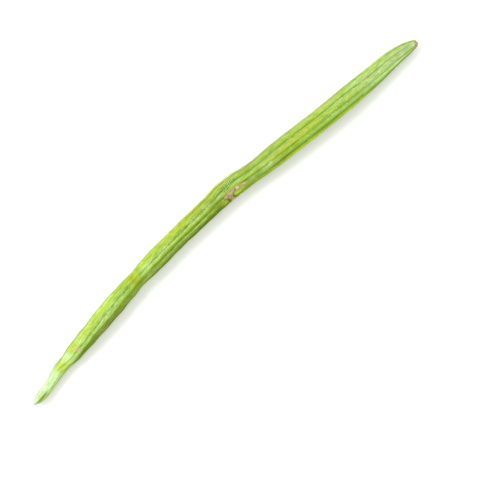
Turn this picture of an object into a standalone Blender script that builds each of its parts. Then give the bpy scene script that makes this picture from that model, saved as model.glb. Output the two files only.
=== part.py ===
"""A green moringa pod lying on a flat surface: one long ribbed fruit, kinked near its middle.

Metres, +Z up, origin under the middle of the pod. +X runs from the blunt tip to the stalk end
and +Y points to the side that the kink bulges to. All lengths below are in millimetres.
"""

import bpy
import numpy as np

MM = 0.001

# Length along the middle line, from the blunt tip to the stalk end.
LENGTH = 450.0

# Each pair is (distance along the pod, value), and a smooth curve runs through the pairs.
# Sideways bend of the middle line: two nearly straight legs that meet at the kink.
SIDEWAYS = (
    (0, -0.9), (6, -0.25), (12, 0.6), (20, 2.0), (26, 3.2), (32, 5.0), (38, 6.25), (50, 7.1),
    (60, 8.3), (72, 9.5), (100, 12.9), (142, 16.8), (185, 18.45), (225, 18.65), (241, 18.85),
    (251, 18.4), (262, 16.5), (275, 14.4), (305, 11.5), (355, 7.0), (397, 4.6), (432, 3.1),
    (450, 0.0),
)
# Diameter: blunt tip, neck, long body, waist beyond the kink, taper to the stalk.
DIAMETER = (
    (0, 7.6), (5, 8.5), (12, 8.9), (20, 8.7), (26, 9.1), (34, 10.3), (41, 11.1), (46, 11.4),
    (51, 12.9), (56, 14.3), (62, 15.0), (70, 15.4), (88, 16.6), (104, 17.4), (121, 16.7),
    (140, 15.3), (156, 17.4), (169, 17.6), (185, 17.0), (200, 17.5), (227, 18.0), (240, 18.9),
    (254, 19.0), (274, 17.1), (291, 18.9), (312, 19.3), (345, 18.9), (376, 18.9), (397, 17.4),
    (418, 15.6), (434, 12.7), (440, 11.0), (445, 8.8), (448.3, 6.6), (450, 5.0),
)
# Height of the middle line: the pod touches at three places and is a little clear between them.
HEIGHT = (
    (0, 6.6), (30, 6.5), (50, 6.65), (57, 6.95), (64, 7.45), (72, 8.45), (80, 8.75), (90, 9.05),
    (112, 9.25), (150, 9.35), (205, 9.4), (230, 9.4), (238, 9.25), (248, 9.3), (258, 9.65),
    (270, 9.85), (292, 10.1), (340, 10.3), (368, 10.15), (384, 9.6), (396, 9.1), (404, 8.4),
    (412, 7.9), (422, 7.8), (450, 6.6),
)
# Turn of the ribs about the middle line, in degrees from straight up towards +Y.
RIB_TURN = (
    (0, -6), (30, -15), (57, -29), (75, -24), (95, -20), (115, -19), (155, -18), (175, -17),
    (195, -13), (215, -9.5), (235, -5.3), (255, -1.5), (275, 4), (295, 5.5), (320, 5.5),
    (340, 4.5), (360, 5), (378, 3), (395, -3.3), (415, -9), (435, -11), (450, -12),
)

# The tip is rounded as an ellipse over this length.
TIP_ROUND = 12.3

# Nine ribs with narrow grooves, on a section that is slightly three-sided.
RIBS = 9
GROOVE_DEPTH = (  # share of the radius
    (0, 0.045), (30, 0.055), (60, 0.085), (120, 0.09), (450, 0.09),
)
CREST_SHARE = 0.12  # part of that depth which stands above the plain radius
RIB_FULLNESS = 2.6  # a higher power gives broader ribs and narrower grooves
THREE_SIDED = 0.022  # share of the radius
CORNER_FROM_CREST = -40.0  # degrees

# The ribs are not quite even: their places and depths wander slowly round and along the pod.
WANDER_DEGREES = 2.4
WANDER_LENGTH = 88.0
DEPTH_WANDER = 0.22
# In places a groove runs beside its even place: distance, reach, angle, spread, shift in degrees.
RIB_SHIFT = (
    (78, 34, 5, 20, -7.5), (50, 12, 2, 20, -4.0), (80, 16, -50, 16, 12.0), (110, 12, -42, 14, 3.5),
    (325, 62, -48, 14, 7.5), (315, 40, 23, 16, 2.5),
)

# Seeds swell the skin at even steps, most in the half with the blunt tip.
SEED_PITCH = 18.6
SEED_FIRST = 35.0
SEED_SWELL = (
    (0, 0.0), (28, 0.1), (60, 0.2), (130, 0.2), (170, 0.13), (230, 0.1), (300, 0.08), (400, 0.05),
    (450, 0.0),
)

# The kink: a hump on its outer side, a crease with raised lips on its inner side.
KINK_AT = 244.5
HUMP_AT, HUMP_REACH, HUMP_HEIGHT, HUMP_ANGLE, HUMP_SPREAD = 240.0, 5.0, 0.40, 72.0, 36.0
CREASE_REACH, CREASE_DEPTH, CREASE_ANGLE, CREASE_SPREAD = 2.4, 0.70, -56.0, 26.0
LIP_OFFSET, LIP_REACH, LIP_HEIGHT = 7.4, 4.2, 0.40
# Dry scar along one rib at the kink, standing slightly proud.
SCAR_AT, SCAR_REACH, SCAR_ANGLE, SCAR_SPREAD, SCAR_HEIGHT = 248.0, 6.5, -24.0, 12.0, 0.28

# The stalk end: a rim round a shallow dish where the stalk came away.
DISH_RADIUS = 1.25
DISH_DEPTH = 0.9

# Mesh steps along the pod, and the places of the points across a rib, grooves at -1 and 1.
LONG_STEP = SEED_PITCH / 4
KINK_STEP = 1.3
KINK_FROM, KINK_TO = 235.0, 257.0
END_STEP = 0.5
END_GROWTH = 0.34
ACROSS_RIB = (-1.0, -0.62, 0.0, 0.62)


def curve(pairs, at):
    """Smooth curve through the pairs: cubic pieces, each slope that of its two neighbours' chord."""
    place, value = np.array(pairs, float).T
    slope = np.gradient(value, place)
    at = np.asarray(at, float)
    left = np.clip(np.searchsorted(place, at, side="right") - 1, 0, len(place) - 2)
    width = place[left + 1] - place[left]
    t = (at - place[left]) / width
    rise = t * t * (3 - 2 * t)
    start = t * (1 - t) ** 2 * width * slope[left]
    end = t * t * (t - 1) * width * slope[left + 1]
    return value[left] + rise * (value[left + 1] - value[left]) + start + end


def bell(distance, reach):
    """1 at distance 0, falling to about a third at the reach."""
    return np.exp(-((distance / reach) ** 2))


def turned(angle, centre):
    """Angle from a centre, in degrees, kept between -180 and 180."""
    return (angle - centre + 180.0) % 360.0 - 180.0


def body_radius(s):
    """Radius of the pod without ribs: half the diameter curve, rounded at the tip."""
    near_tip = np.clip(1.0 - s / TIP_ROUND, 0.0, 1.0)
    return 0.5 * curve(DIAMETER, s) * np.sqrt(1.0 - near_tip ** 2)


def rib_angle(s, rib, across):
    """Angle in degrees of a place on a rib, across being -1 and 1 at its two grooves."""
    even = (rib + 0.5 * across) * 360.0 / RIBS
    phase = np.radians(even)
    drift = s / WANDER_LENGTH
    wander = np.sin(2 * phase + drift) + 0.7 * np.sin(5 * phase - 1.5 * drift + 1.0)
    angle = even + WANDER_DEGREES * wander + curve(RIB_TURN, s)
    return angle + sum(shift * bell(s - at, reach) * bell(turned(angle, centre), spread)
                       for at, reach, centre, spread, shift in RIB_SHIFT)


def skin_radius(s, rib, across):
    """Radius of the skin at distance s along the pod and a place on a rib, in millimetres."""
    radius = body_radius(s)
    angle = rib_angle(s, rib, across)
    crest = curve(RIB_TURN, s)
    phase = np.radians((rib + 0.5 * across) * 360.0 / RIBS)
    corner = np.cos(3 * np.radians(angle - crest - CORNER_FROM_CREST))
    depth = curve(GROOVE_DEPTH, s) * (1 + DEPTH_WANDER * np.sin(3 * phase + s / 50.0 + 1.0))
    groove = np.abs(across) ** RIB_FULLNESS
    swell = curve(SEED_SWELL, s) * np.cos(2 * np.pi * (s - SEED_FIRST) / SEED_PITCH)
    skin = radius * (1 + THREE_SIDED * corner - depth * (groove - CREST_SHARE)) + swell

    hump = HUMP_HEIGHT * bell(s - HUMP_AT, HUMP_REACH)
    hump = hump * bell(turned(angle, HUMP_ANGLE), HUMP_SPREAD)
    inner = bell(turned(angle, CREASE_ANGLE), CREASE_SPREAD)
    crease = CREASE_DEPTH * bell(s - KINK_AT, CREASE_REACH)
    lips = LIP_HEIGHT * bell(np.abs(s - KINK_AT) - LIP_OFFSET, LIP_REACH)
    scar = SCAR_HEIGHT * bell(s - SCAR_AT, SCAR_REACH)
    scar = scar * bell(turned(angle, SCAR_ANGLE), SCAR_SPREAD)
    return skin + hump + inner * (lips - crease) + scar


def middle_line(s):
    """Points of the middle line: the run along +X is what the sideways bend leaves of the length."""
    fine = np.linspace(0.0, LENGTH, 4501)
    side = curve(SIDEWAYS, fine)
    slope = np.gradient(side, fine)
    run = np.sqrt(1.0 - slope ** 2)
    along = np.concatenate([[0.0], np.cumsum(0.5 * (run[1:] + run[:-1]) * np.diff(fine))])
    points = np.stack([along, side, curve(HEIGHT, fine)], axis=1)
    return np.stack([np.interp(s, fine, points[:, k]) for k in range(3)], axis=-1)


def ring_places():
    """Distances of the rings along the pod: close at the ends and the kink, wide between them."""
    places = [END_STEP]
    while places[-1] < LENGTH:
        s = places[-1]
        step = min(LONG_STEP, END_STEP + END_GROWTH * s, END_STEP + END_GROWTH * (LENGTH - s))
        if KINK_FROM - LONG_STEP < s < KINK_TO:
            step = KINK_STEP if s >= KINK_FROM else min(step, KINK_FROM - s + KINK_STEP)
        places.append(s + step)
    places[-1] = LENGTH
    if places[-1] - places[-2] < 0.4 * END_STEP:
        del places[-2]
    return np.array(places)


def pod_points():
    """Grid of skin points, rings by places round a ring, then the two end points."""
    s = ring_places()[:, None]
    rib = np.repeat(np.arange(RIBS), len(ACROSS_RIB))[None, :]
    across = np.tile(ACROSS_RIB, RIBS)[None, :]
    angle = np.radians(rib_angle(s, rib, across))
    radius = skin_radius(s, rib, across)

    centre = middle_line(s[:, 0])
    ahead = middle_line(np.minimum(s[:, 0] + 0.5, LENGTH)) - middle_line(s[:, 0] - 0.5)
    ahead /= np.linalg.norm(ahead, axis=1, keepdims=True)
    aside = np.cross([0.0, 0.0, 1.0], ahead)
    aside /= np.linalg.norm(aside, axis=1, keepdims=True)
    above = np.cross(ahead, aside)
    spoke = np.sin(angle)[..., None] * aside[:, None] + np.cos(angle)[..., None] * above[:, None]
    skin = centre[:, None] + radius[..., None] * spoke

    dish = centre[-1] + (DISH_RADIUS / radius[-1])[:, None] * (skin[-1] - centre[-1])
    dish = dish - 0.6 * DISH_DEPTH * ahead[-1]
    rings = np.concatenate([skin, dish[None]])
    ends = np.stack([middle_line(0.0), centre[-1] - DISH_DEPTH * ahead[-1]])

    # Where the pod lies, its underside is pressed flat.
    rings[..., 2] = np.maximum(rings[..., 2], 0.0)
    every = np.concatenate([rings.reshape(-1, 3), ends])
    middle = 0.5 * (every.min(axis=0) + every.max(axis=0))
    return rings, every - [middle[0], middle[1], 0.0]


def pod_faces(ring_count, round_count):
    """Quads between the rings and a fan of triangles at each end, all facing out."""
    faces = []
    tip, stalk = ring_count * round_count, ring_count * round_count + 1
    for j in range(round_count):
        k = (j + 1) % round_count
        faces.append((tip, j, k))
        for i in range(ring_count - 1):
            low, high = i * round_count, (i + 1) * round_count
            faces.append((low + j, high + j, high + k, low + k))
        last = (ring_count - 1) * round_count
        faces.append((stalk, last + k, last + j))
    return faces


def skin_material():
    """Green plant skin with a faint wax sheen."""
    material = bpy.data.materials.new("green_pod_skin")
    material.use_nodes = True
    skin = material.node_tree.nodes["Principled BSDF"]
    skin.inputs["Base Color"].default_value = (0.33, 0.52, 0.10, 1.0)
    skin.inputs["Roughness"].default_value = 0.5
    return material


def main():
    for old in list(bpy.data.objects):
        bpy.data.objects.remove(old)
    rings, points = pod_points()
    mesh = bpy.data.meshes.new("moringa_pod")
    mesh.from_pydata((points * MM).tolist(), [], pod_faces(rings.shape[0], rings.shape[1]))
    mesh.polygons.foreach_set("use_smooth", [True] * len(mesh.polygons))
    mesh.materials.append(skin_material())
    mesh.update()
    pod = bpy.data.objects.new("moringa_pod", mesh)
    bpy.context.scene.collection.objects.link(pod)


main()
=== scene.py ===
# %% [markdown]
# # A green moringa pod
#
# A moringa pod is one long fruit with nine ribs that run from end to end. This pod lies on a pale
# table. It is slightly bent, and it has been kinked near the middle, where the skin on the inner
# side of the bend has dried to a corky scar. The lesson builds its skin as one grid of points,
# paints it with values worked out from the same formulas, and lights it with soft light.
#
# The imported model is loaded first. It gives the frame that every piece is placed in.

import bpy
import numpy as np
from mathutils import Matrix, Vector


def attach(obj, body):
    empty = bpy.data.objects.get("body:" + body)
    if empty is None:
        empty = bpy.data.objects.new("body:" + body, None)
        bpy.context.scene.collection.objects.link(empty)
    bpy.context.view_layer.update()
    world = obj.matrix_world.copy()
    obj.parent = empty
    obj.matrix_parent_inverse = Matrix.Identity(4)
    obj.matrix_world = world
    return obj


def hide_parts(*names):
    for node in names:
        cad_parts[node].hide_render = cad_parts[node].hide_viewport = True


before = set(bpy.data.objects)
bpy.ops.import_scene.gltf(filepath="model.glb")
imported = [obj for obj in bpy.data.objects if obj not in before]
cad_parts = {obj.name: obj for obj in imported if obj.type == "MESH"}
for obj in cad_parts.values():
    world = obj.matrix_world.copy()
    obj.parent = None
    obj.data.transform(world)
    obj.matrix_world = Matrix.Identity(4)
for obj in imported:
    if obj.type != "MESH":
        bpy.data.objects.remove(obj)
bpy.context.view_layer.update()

MM = 0.001

# %% [markdown]
# ## Curves that describe the pod
#
# Real pods are never straight or even, so the bend, the thickness and the height of the pod are
# short lists of measures along its length. A smooth curve through each list gives a value at any
# place. The same lists shape the solid, so the fine skin keeps its form.

# %% Measures along the pod, in millimetres
LENGTH = 450.0
SIDEWAYS = (  # how far the middle line lies to one side
    (0, -0.9), (6, -0.25), (12, 0.6), (20, 2.0), (26, 3.2), (32, 5.0), (38, 6.25), (50, 7.1),
    (60, 8.3), (72, 9.5), (100, 12.9), (142, 16.8), (185, 18.45), (225, 18.65), (241, 18.85),
    (251, 18.4), (262, 16.5), (275, 14.4), (305, 11.5), (355, 7.0), (397, 4.6), (432, 3.1),
    (450, 0.0),
)
DIAMETER = (
    (0, 7.6), (5, 8.5), (12, 8.9), (20, 8.7), (26, 9.1), (34, 10.3), (41, 11.1), (46, 11.4),
    (51, 12.9), (56, 14.3), (62, 15.0), (70, 15.4), (88, 16.6), (104, 17.4), (121, 16.7),
    (140, 15.3), (156, 17.4), (169, 17.6), (185, 17.0), (200, 17.5), (227, 18.0), (240, 18.9),
    (254, 19.0), (274, 17.1), (291, 18.9), (312, 19.3), (345, 18.9), (376, 18.9), (397, 17.4),
    (418, 15.6), (434, 12.7), (440, 11.0), (445, 8.8), (448.3, 6.6), (450, 5.0),
)
HEIGHT = (  # of the middle line over the table
    (0, 6.6), (30, 6.5), (50, 6.65), (57, 6.95), (64, 7.45), (72, 8.45), (80, 8.75), (90, 9.05),
    (112, 9.25), (150, 9.35), (205, 9.4), (230, 9.4), (238, 9.25), (248, 9.3), (258, 9.65),
    (270, 9.85), (292, 10.1), (340, 10.3), (368, 10.15), (384, 9.6), (396, 9.1), (404, 8.4),
    (412, 7.9), (422, 7.8), (450, 6.6),
)
RIB_TURN = (  # degrees that the ribs have turned round the pod
    (0, -6), (30, -15), (57, -29), (75, -24), (95, -20), (115, -19), (155, -18), (175, -17),
    (195, -13), (215, -9.5), (235, -5.3), (255, -1.5), (275, 4), (295, 5.5), (320, 5.5),
    (340, 4.5), (360, 5), (378, 3), (395, -3.3), (415, -9), (435, -11), (450, -12),
)
SEED_SWELL = (  # how far a seed presses the skin out
    (0, 0.0), (28, 0.1), (60, 0.2), (130, 0.2), (170, 0.13), (230, 0.1), (300, 0.08), (400, 0.05),
    (450, 0.0),
)
TIP_ROUND = 12.3  # the tip starts to close this far from its end

print("the pod is", LENGTH, "mm long, and its thickness is given at", len(DIAMETER), "places")

# %% A smooth curve, a bell, an S curve and an angle
def curve(pairs, at):
    """Smooth curve through the pairs: cubic pieces, each slope that of its two neighbours' chord."""
    place, value = np.array(pairs, float).T
    slope = np.gradient(value, place)
    at = np.asarray(at, float)
    left = np.clip(np.searchsorted(place, at, side="right") - 1, 0, len(place) - 2)
    width = place[left + 1] - place[left]
    t = (at - place[left]) / width
    rise = t * t * (3 - 2 * t)
    start = t * (1 - t) ** 2 * width * slope[left]
    end = t * t * (t - 1) * width * slope[left + 1]
    return value[left] + rise * (value[left + 1] - value[left]) + start + end


def bell(distance, reach):
    """1 at distance 0, falling to about a third at the reach: e to the minus distance squared."""
    return np.exp(-((distance / reach) ** 2))


def step_up(value, low, high):
    """0 below low, 1 above high, and an S curve between them."""
    t = np.clip((value - low) / (high - low), 0.0, 1.0)
    return t * t * (3 - 2 * t)


def turned(angle, centre):
    """Angle from a centre, in degrees, kept between -180 and 180."""
    return (angle - centre + 180.0) % 360.0 - 180.0


print("thickest:", round(float(curve(DIAMETER, np.arange(0, LENGTH)).max()), 1), "mm")

# %% [markdown]
# ## Unevenness that closes round the pod
#
# Grown things are uneven at every scale. One way is to move points at random, but that gives
# spikes. Here random values sit on a coarse lattice that is wrapped round the pod, and the points
# between take a smooth blend of them, so the skin swells and dips softly and has no seam.

# %% A lattice of soft noise
NOISE_ROWS = 512


def soft_noise(s, angle, along_mm, cells_round, seed):
    """Values from -1 to 1: random numbers on a lattice, blended by an S curve between its points."""
    table = np.random.default_rng(seed).uniform(-1, 1, (NOISE_ROWS, cells_round))
    x = s / along_mm
    y = (angle % 360.0) / 360.0 * cells_round
    row, column = np.floor(x).astype(int), np.floor(y).astype(int)
    u, v = step_up(x - row, 0, 1), step_up(y - column, 0, 1)
    row, next_row = row % NOISE_ROWS, (row + 1) % NOISE_ROWS
    column, next_column = column % cells_round, (column + 1) % cells_round
    near = table[row, column] * (1 - v) + table[row, next_column] * v
    far = table[next_row, column] * (1 - v) + table[next_row, next_column] * v
    return near * (1 - u) + far * u


def noise_layers(s, angle, layers):
    """Sum of soft noises, each given as its height, millimetres along, cells round and seed."""
    return sum(height * soft_noise(s, angle, *cells) for height, *cells in layers)


print("the noise repeats after", NOISE_ROWS, "cells along the pod")

# %% [markdown]
# ## Ribs and seeds
#
# The skin is a distance from the middle line. It starts as a round section with a rounded tip.
# Nine ribs are cut into it as one profile that repeats, broad and soft, with narrow grooves and a
# faint keel on each crest. Seeds press it outward at even steps. The ribs could be modelled one by
# one, but a formula lets all nine turn and wander together, as they do on a grown pod.

# %% Measures of the ribs and the seeds
RIBS = 9
GROOVE_DEPTH = (  # share of the radius
    (0, 0.045), (30, 0.055), (60, 0.085), (120, 0.09), (450, 0.09),
)
CREST_SHARE = 0.12  # part of that depth which stands above the plain radius
RIB_FULLNESS = 2.6  # a higher power gives a flatter rib and a narrower groove
KEEL = 0.12  # share of the groove depth that goes to the keel
GROOVE_ROUND, GROOVE_BOTTOM = 0.20, 0.16  # share of the depth that fills its bottom, and its width
THREE_SIDED = 0.022  # share of the radius that stands out at three corners
CORNER_FROM_CREST = -40.0  # degrees
WANDER_DEGREES, WANDER_LENGTH = 2.4, 88.0  # how far a rib strays, and over what length
DEPTH_WANDER, DEPTH_LENGTH = 0.22, 50.0  # how unequal the grooves are, and over what length
RIB_SHIFT = (  # where a groove leaves its even place: place, reach, angle, spread, degrees
    (78, 34, 5, 20, -7.5), (50, 12, 2, 20, -4.0), (80, 16, -50, 16, 12.0), (110, 12, -42, 14, 3.5),
    (325, 62, -48, 14, 7.5), (315, 40, 23, 16, 2.5),
)
SEED_PITCH, SEED_FIRST = 18.6, 35.0
SEED_UNEVEN = 0.6  # share by which one seed stands out more than another
UNEVEN_SKIN = (  # height, millimetres along, cells round and seed
    (0.10, 9.0, 18, 12), (0.04, 2.6, 60, 13), (0.06, 60.0, 54, 14),
)
WARTS = (  # small bumps: place, reach, angle, spread, height
    (43.5, 0.7, 84.0, 8.0, 0.50), (241.0, 0.7, 82.0, 6.0, 0.45), (34.3, 0.8, -72.0, 9.0, 0.30),
    (396.2, 0.8, 17.0, 5.0, 0.14), (60.4, 1.0, -4.0, 7.0, 0.10), (63.2, 0.9, -16.0, 8.0, 0.10),
)

print(RIBS, "ribs, and a seed at every", SEED_PITCH, "mm")

# %% The ribs and the seeds as formulas
def body_radius(s):
    """Radius without ribs: half the diameter curve, times an ellipse's rise over the tip."""
    near_tip = np.clip(1.0 - s / TIP_ROUND, 0.0, 1.0)
    return 0.5 * curve(DIAMETER, s) * np.sqrt(1.0 - near_tip ** 2)


def patches(listed, s, angle):
    """Sum of soft patches: a strength times a bell along the pod times a bell round it."""
    return sum(strength * bell(s - at, reach) * bell(turned(angle, centre), spread)
               for at, reach, centre, spread, strength in listed)


def rib_angle(s, turn):
    """Angle in degrees of a place round the pod, turn being counted in ribs from the first crest."""
    even = turn * 360.0 / RIBS
    phase = np.radians(even)
    drift = s / WANDER_LENGTH
    wander = np.sin(2 * phase + drift) + 0.7 * np.sin(5 * phase - 1.5 * drift + 1.0)
    angle = even + WANDER_DEGREES * wander + curve(RIB_TURN, s)
    return angle + patches(RIB_SHIFT, s, angle)


def rib_across(turn):
    """Place across a rib: 0 on its crest, 1 in the groove on either side."""
    return np.abs(2.0 * (turn - np.round(turn)))


def seed_wave(s):
    """A wave along the pod: 1 over a seed and -1 between two."""
    return np.cos(2 * np.pi * (s - SEED_FIRST) / SEED_PITCH)


def ribbed_radius(s, turn):
    """Body radius, times the three-sided section less the groove profile, plus the seed swells."""
    angle = rib_angle(s, turn)
    phase = np.radians(turn * 360.0 / RIBS)
    corner = np.cos(3 * np.radians(angle - curve(RIB_TURN, s) - CORNER_FROM_CREST))
    depth = curve(GROOVE_DEPTH, s) * (1 + DEPTH_WANDER * np.sin(3 * phase + s / DEPTH_LENGTH + 1.0))
    across = rib_across(turn)
    groove = (1 - KEEL) * across ** RIB_FULLNESS + KEEL * across
    groove = groove - GROOVE_ROUND * bell(1 - across, GROOVE_BOTTOM)
    section = 1 + THREE_SIDED * corner - depth * (groove - CREST_SHARE)
    swell = curve(SEED_SWELL, s) * seed_wave(s)
    swell = swell * (1 + SEED_UNEVEN * soft_noise(s, angle, SEED_PITCH, RIBS, 11))
    uneven = noise_layers(s, angle, UNEVEN_SKIN) * step_up(body_radius(s), 1.0, 5.0)
    return body_radius(s) * section + swell + uneven + patches(WARTS, s, angle)


halfway = np.array([0.5 * LENGTH])
print("radius on a crest and in a groove halfway along, mm:",
      [round(float(ribbed_radius(halfway, turn)[0]), 2) for turn in (0.0, 0.5)])

# %% [markdown]
# ## The kink and its scar
#
# This pod was once bent too far. Its skin bulges a little on the outer side and is puckered in fine
# folds across the top. On the inner side it tore, and cork grew over the tear: a ragged band along
# the pod, with a neck that runs down round it. Beside the neck lie two narrow creases between
# swollen lips. A scar could be a separate patch laid on the skin. Here its edges are curves, and
# one distance from them raises the skin and paints it too, so both always agree.

# %% The hump, the lips and the fine folds
KINK_AT = 244.5
HUMP = (240.0, 5.0, 72.0, 36.0, 0.40)  # place, reach, angle, spread, height
CREASE_ANGLE, CREASE_SPREAD = -56.0, 26.0
LIP_OFFSET, LIP_REACH, LIP_HEIGHT = 7.4, 4.4, 0.55
PUCKER_PITCH, PUCKER_HEIGHT = 1.65, 0.20
PUCKERS = (  # patches of fine folds across the skin: place, reach, angle, spread, strength
    (245.4, 2.4, 28, 13, 1.60), (245.0, 2.4, 3, 10, 1.60), (254.8, 4.2, 29, 8, 1.20),
    (250.5, 2.0, 23, 8, 1.00), (241.0, 1.2, 40, 6, 0.90), (262.5, 3.0, 40, 8, 0.30),
)
PUCKER_STRAY = ((0.40, 2.4, 30, 31), (0.22, 1.0, 60, 34))  # bends the folds


def puckers(s, angle):
    """Fine folds: a wave along the pod whose phase wanders, broken by noise and kept to patches."""
    where = np.minimum(patches(PUCKERS, s, angle), 1.0)
    broken = 0.5 + 0.5 * step_up(soft_noise(s, angle, 1.3, 40, 35), -0.55, 0.35)
    bent = s + noise_layers(s, angle, PUCKER_STRAY)
    return where * broken * np.cos(2 * np.pi * bent / PUCKER_PITCH)


print("fine folds in", len(PUCKERS), "patches,", PUCKER_PITCH, "mm from fold to fold")

# %% The outline of the scar
# The upper and lower edge of its band are angles round the pod, and its neck's are places along it.
SCAR_TOP = (
    (233, -28), (236, -26), (240, -19), (243, -15), (245, -10), (247.5, -5.5), (249, -7), (251, -12),
    (254, -12), (258, -13), (260, -17), (264, -19), (269, -22), (272, -24),
)
SCAR_LOW = (
    (233, -28), (236, -31), (241, -34), (244, -38), (248, -37), (251, -32), (256, -30), (262, -30),
    (267, -28), (272, -24),
)
NECK_LEFT = (
    (-130, 243.9), (-108, 243.2), (-92, 240.8), (-80, 241.8), (-70, 242.6), (-57, 242.8),
    (-47, 242.2), (-39, 241.5), (-32, 240.6), (-25, 239.8),
)
NECK_RIGHT = (
    (-130, 244.1), (-112, 246.2), (-98, 249.5), (-88, 252.0), (-78, 249.0), (-68, 246.8),
    (-57, 245.9), (-50, 246.1), (-44, 246.6), (-38, 247.7), (-31, 249.3), (-25, 251.2),
)
CREASES = (  # each runs beside one edge of the neck: the edge, how far beside it, reach, depth
    (NECK_LEFT, -0.85, 0.60, 1.50), (NECK_RIGHT, 0.85, 0.55, 1.35),
)
SCAR_START, SCAR_END = 233.0, 272.0
NECK_TOP, NECK_FOOT = -24.0, -122.0  # degrees round the pod

print("the scar is", SCAR_END - SCAR_START, "mm long, and its neck goes round",
      NECK_TOP - NECK_FOOT, "degrees")

# %% The scar's cork and the creases
MM_A_DEGREE = 0.157  # round the pod, at a radius of 9 mm
EDGE_STRAY_DEGREES, EDGE_STRAY_MM = 3.2, 0.35  # how ragged the scar's edge is, round and along
NECK_STRAY_MM, FOOT_STRAY_DEGREES = 0.4, 9.0
START_LOSS, START_GROWN = 0.35, 240.5  # the band's start is thinner by this much, up to this place
END_LOSS, END_SHRINKS = 0.9, (256.0, 268.0)  # its end loses this much between these places
FOOT_WAVES = (70.0, 95.0)  # degrees below the top between which the neck's foot starts to wave
CREASE_STRAY = 0.25
CORK_HEIGHT, CORK_LUMPS = 0.22, ((0.12, 1.1, 70, 32), (0.08, 0.5, 150, 33))


def scar_distance(s, angle):
    """Millimetres in from the scar's edge: the least distance to the edges of its band or its neck."""
    angle = turned(angle, 0.0) + EDGE_STRAY_DEGREES * soft_noise(s, angle, 1.5, 60, 21)
    s = s + EDGE_STRAY_MM * soft_noise(s, angle, 0.7, 90, 22)
    band = MM_A_DEGREE * np.minimum(curve(SCAR_TOP, s) - angle, angle - curve(SCAR_LOW, s))
    band = np.minimum(band, np.minimum(s - SCAR_START, SCAR_END - s))
    band = band - END_LOSS * step_up(s, *END_SHRINKS)
    band = band - START_LOSS * (1 - step_up(s, SCAR_START, START_GROWN))
    foot = FOOT_STRAY_DEGREES * soft_noise(s, 0.0 * angle, 1.4, 4, 23)
    low = angle + foot * step_up(-angle, *FOOT_WAVES)
    neck = np.minimum(s - curve(NECK_LEFT, low), curve(NECK_RIGHT, low) - s)
    neck = neck + NECK_STRAY_MM * soft_noise(s, angle, 1.6, 34, 24)
    neck = np.minimum(neck, MM_A_DEGREE * np.minimum(NECK_TOP - angle, low - NECK_FOOT))
    return np.maximum(band, neck)


def creases(s, angle, narrowed=1.0):
    """Depth of the two creases: a bell from a line that keeps its distance from the neck's edge."""
    inner = bell(turned(angle, CREASE_ANGLE), CREASE_SPREAD)
    listed = np.clip(turned(angle, 0.0), NECK_LEFT[0][0], NECK_LEFT[-1][0])
    uneven = CREASE_STRAY * soft_noise(s, angle, 2.0, 40, 36)
    return inner * sum(depth * bell(s - curve(edge, listed) - beside + uneven, narrowed * reach)
                       for edge, beside, reach, depth in CREASES)


def kink_relief(s, turn):
    """Height that the kink adds: hump, lips, fine folds and scar, less the two creases."""
    angle = rib_angle(s, turn)
    inner = bell(turned(angle, CREASE_ANGLE), CREASE_SPREAD)
    lips = LIP_HEIGHT * bell(np.abs(s - KINK_AT) - LIP_OFFSET, LIP_REACH) * inner
    folds = PUCKER_HEIGHT * puckers(s, angle)
    scar = step_up(scar_distance(s, angle), -0.3, 0.3)
    cork = CORK_HEIGHT + noise_layers(s, angle, CORK_LUMPS)
    return patches([HUMP], s, angle) + lips - creases(s, angle) + folds * (1 - scar) + scar * cork


print("the creases are", [depth for edge, beside, reach, depth in CREASES], "mm deep")

# %% [markdown]
# ## From radius to skin
#
# Each ring of the skin stands square to the middle line. The rings lie close together at the kink
# and at both ends, where there is more to show, and the points round a ring crowd into the grooves
# so that these stay narrow. A point at each end closes the skin. Where the pod lies on the table
# its underside is pressed flat, so it is clamped at the level of the table.

# %% Places of the rings and of the points round a ring
ACROSS_HALF = np.array([0.0, 0.27, 0.52, 0.72, 0.86, 0.95])
ROUND = 0.5 * np.concatenate([[-1.0], -ACROSS_HALF[:0:-1], ACROSS_HALF])
TURNS = (np.arange(RIBS)[:, None] + ROUND[None, :]).ravel()
RINGS = np.concatenate([
    np.arange(0.12, 6.0, 0.28), np.arange(6.0, 237.0, 0.6), np.arange(237.0, 259.0, 0.25),
    np.arange(259.0, 441.0, 0.6), np.arange(441.0, LENGTH, 0.22), [LENGTH],
])


def middle_line(s):
    """Points of the middle line: its run along +X is what the sideways slope leaves of the length."""
    fine = np.linspace(0.0, LENGTH, 4501)
    side = curve(SIDEWAYS, fine)
    run = np.sqrt(1.0 - np.gradient(side, fine) ** 2)
    along = np.concatenate([[0.0], np.cumsum(0.5 * (run[1:] + run[:-1]) * np.diff(fine))])
    points = np.stack([along, side, curve(HEIGHT, fine)], axis=1)
    return np.stack([np.interp(s, fine, points[:, k]) for k in range(3)], axis=-1)


def directions(s):
    """Unit vectors along, to the side of and above the middle line, from its own small steps."""
    ahead = middle_line(np.minimum(s + 0.5, LENGTH)) - middle_line(s - 0.5)
    ahead /= np.linalg.norm(ahead, axis=1, keepdims=True)
    aside = np.cross([0.0, 0.0, 1.0], ahead)
    aside /= np.linalg.norm(aside, axis=1, keepdims=True)
    return ahead, aside, np.cross(ahead, aside)


print(len(RINGS), "rings of", len(TURNS), "points,", 2 * len(RINGS) * len(TURNS), "triangles")

# %% [markdown]
# The torn end is a shallow dish with a lip, where the stalk came away. It continues the grid:
# more rings, each smaller than the last and set back into the pod.

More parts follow.
